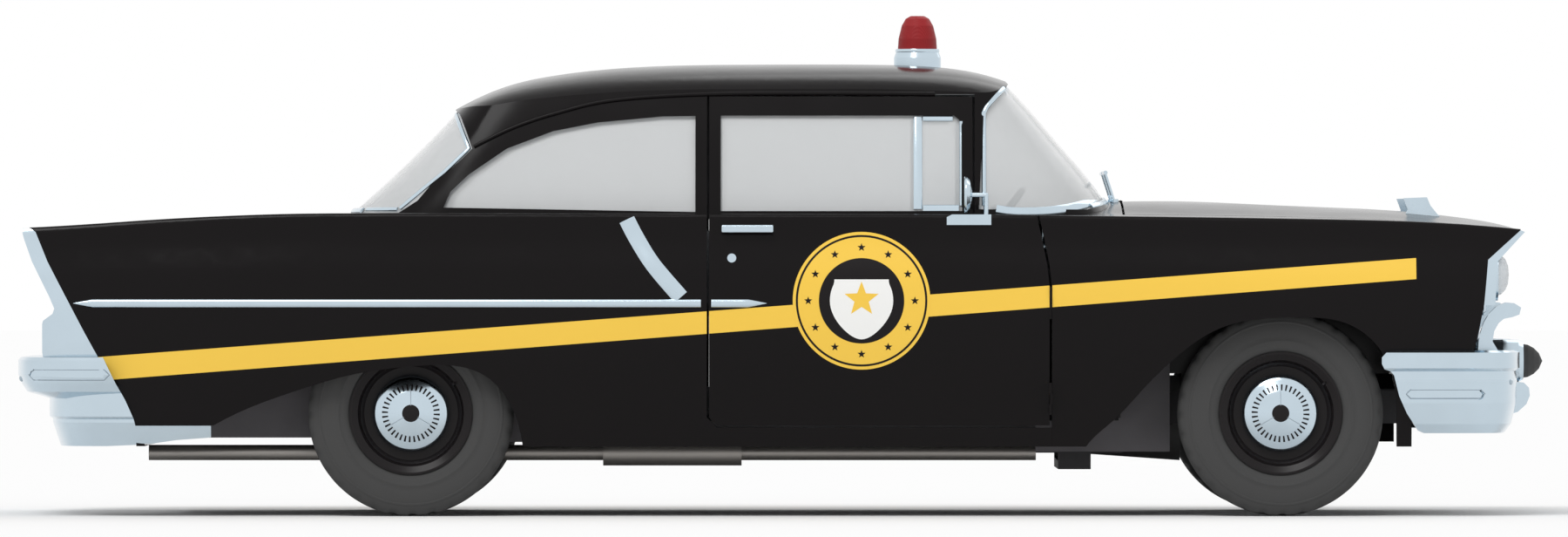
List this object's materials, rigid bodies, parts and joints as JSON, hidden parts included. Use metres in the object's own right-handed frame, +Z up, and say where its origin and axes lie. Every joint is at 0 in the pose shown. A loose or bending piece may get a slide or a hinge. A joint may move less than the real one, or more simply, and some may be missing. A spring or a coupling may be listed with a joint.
{
  "type": "police patrol car, two-door sedan of the late 1950s",
  "caption": "Two-door patrol sedan with tail fins, wraparound glass, roof beacon, opening doors, hood and trunk lid, steering and rolling wheels.",
  "frame": {"origin": "on the floor under the middle of the car's bounding box", "axes": "+X to the nose, +Y to the car's left, +Z up; wheels stand on z = 0"},
  "size_m": [5.1556, 1.874, 1.6897],
  "materials": {
    "body_paint": "gloss black enamel with yellow bands",
    "chrome_plate": "polished plate",
    "bumper_rubber": "matt black rubber",
    "lamp_glass": "clear ribbed lens",
    "tail_glass": "red lens",
    "window_glass": "clear, lightly grey",
    "chassis_black": "matt black undercoat",
    "engine_iron": "painted casting",
    "exhaust_steel": "dull steel",
    "seat_cloth": "grey woven cloth",
    "dash_trim": "satin dark trim",
    "beacon_mount": "polished plate",
    "beacon_glass": "red lens",
    "tyre_rubber": "matt rubber",
    "wheel_steel": "gloss black steel with plated cap"
  },
  "bodies": {
    "body": {"beacon_base": "beacon_mount", "beacon_dome": "beacon_glass", "bumper_tips": "bumper_rubber", "dashboard": "dash_trim", "engine": "engine_iron", "exhaust": "exhaust_steel", "fender_left": "body_paint", "fender_right": "body_paint", "fin_ends": "chrome_plate", "firewall": "body_paint", "fixed_glass": "window_glass", "floor_pan": "chassis_black", "frame": "chassis_black", "front_bumper": "chrome_plate", "front_panel": "body_paint", "front_suspension": "chassis_black", "fuel_tank": "chassis_black", "grille": "chrome_plate", "lamp_lenses": "lamp_glass", "lamp_rings": "chrome_plate", "parcel_shelf": "body_paint", "quarter_left": "body_paint", "quarter_right": "body_paint", "rear_axle": "chassis_black", "rear_bumper": "chrome_plate", "roof": "body_paint", "seats": "seat_cloth", "steering_wheel": "dash_trim", "tail_lenses": "tail_glass", "tail_panel": "body_paint", "windshield": "window_glass", "wipers": "chrome_plate"},
    "door_left": {"door_left": "body_paint", "door_glass_left": "window_glass", "door_trim_left": "chrome_plate"},
    "door_right": {"door_right": "body_paint", "door_glass_right": "window_glass", "door_trim_right": "chrome_plate"},
    "hood": {"hood": "body_paint", "hood_ornaments": "chrome_plate"},
    "trunk_lid": {"trunk_lid": "body_paint"},
    "knuckle_left": {"knuckle_left": "chassis_black"},
    "knuckle_right": {"knuckle_right": "chassis_black"},
    "wheel_front_left": {"wheel_front_left": "wheel_steel", "tyre_front_left": "tyre_rubber"},
    "wheel_front_right": {"wheel_front_right": "wheel_steel", "tyre_front_right": "tyre_rubber"},
    "wheel_rear_left": {"wheel_rear_left": "wheel_steel", "tyre_rear_left": "tyre_rubber"},
    "wheel_rear_right": {"wheel_rear_right": "wheel_steel", "tyre_rear_right": "tyre_rubber"}
  },
  "joints": [
    {"name": "door_left_swing", "type": "hinge", "parent": "body", "child": "door_left", "pos_m": [0.90513, 0.9176, 0.55], "axis": [0, 0, -1], "range_deg": [0, 65]},
    {"name": "door_right_swing", "type": "hinge", "parent": "body", "child": "door_right", "pos_m": [0.90513, -0.9176, 0.55], "axis": [0, 0, 1], "range_deg": [0, 65]},
    {"name": "hood_lift", "type": "hinge", "parent": "body", "child": "hood", "pos_m": [1.15341, 0, 1.05889], "axis": [0, -1, 0], "range_deg": [0, 50]},
    {"name": "trunk_lift", "type": "hinge", "parent": "body", "child": "trunk_lid", "pos_m": [-1.57404, 0, 0.962], "axis": [0, 1, 0], "range_deg": [0, 50]},
    {"name": "steer_left", "type": "hinge", "parent": "body", "child": "knuckle_left", "pos_m": [1.67812, 0.672, 0.345], "axis": [0, 0, 1], "range_deg": [-30, 30]},
    {"name": "steer_right", "type": "hinge", "parent": "body", "child": "knuckle_right", "pos_m": [1.67812, -0.672, 0.345], "axis": [0, 0, 1], "range_deg": [-30, 30]},
    {"name": "roll_front_left", "type": "hinge", "parent": "knuckle_left", "child": "wheel_front_left", "pos_m": [1.67812, 0.7365, 0.345], "axis": [0, 1, 0], "continuous": true},
    {"name": "roll_front_right", "type": "hinge", "parent": "knuckle_right", "child": "wheel_front_right", "pos_m": [1.67812, -0.7365, 0.345], "axis": [0, 1, 0], "continuous": true},
    {"name": "roll_rear_left", "type": "hinge", "parent": "body", "child": "wheel_rear_left", "pos_m": [-1.24289, 0.748, 0.345], "axis": [0, 1, 0], "continuous": true},
    {"name": "roll_rear_right", "type": "hinge", "parent": "body", "child": "wheel_rear_right", "pos_m": [-1.24289, -0.748, 0.345], "axis": [0, 1, 0], "continuous": true}
  ],
  "couplings": [
    {"joint": "steer_right", "follows": "steer_left", "ratio": 1}
  ]
}
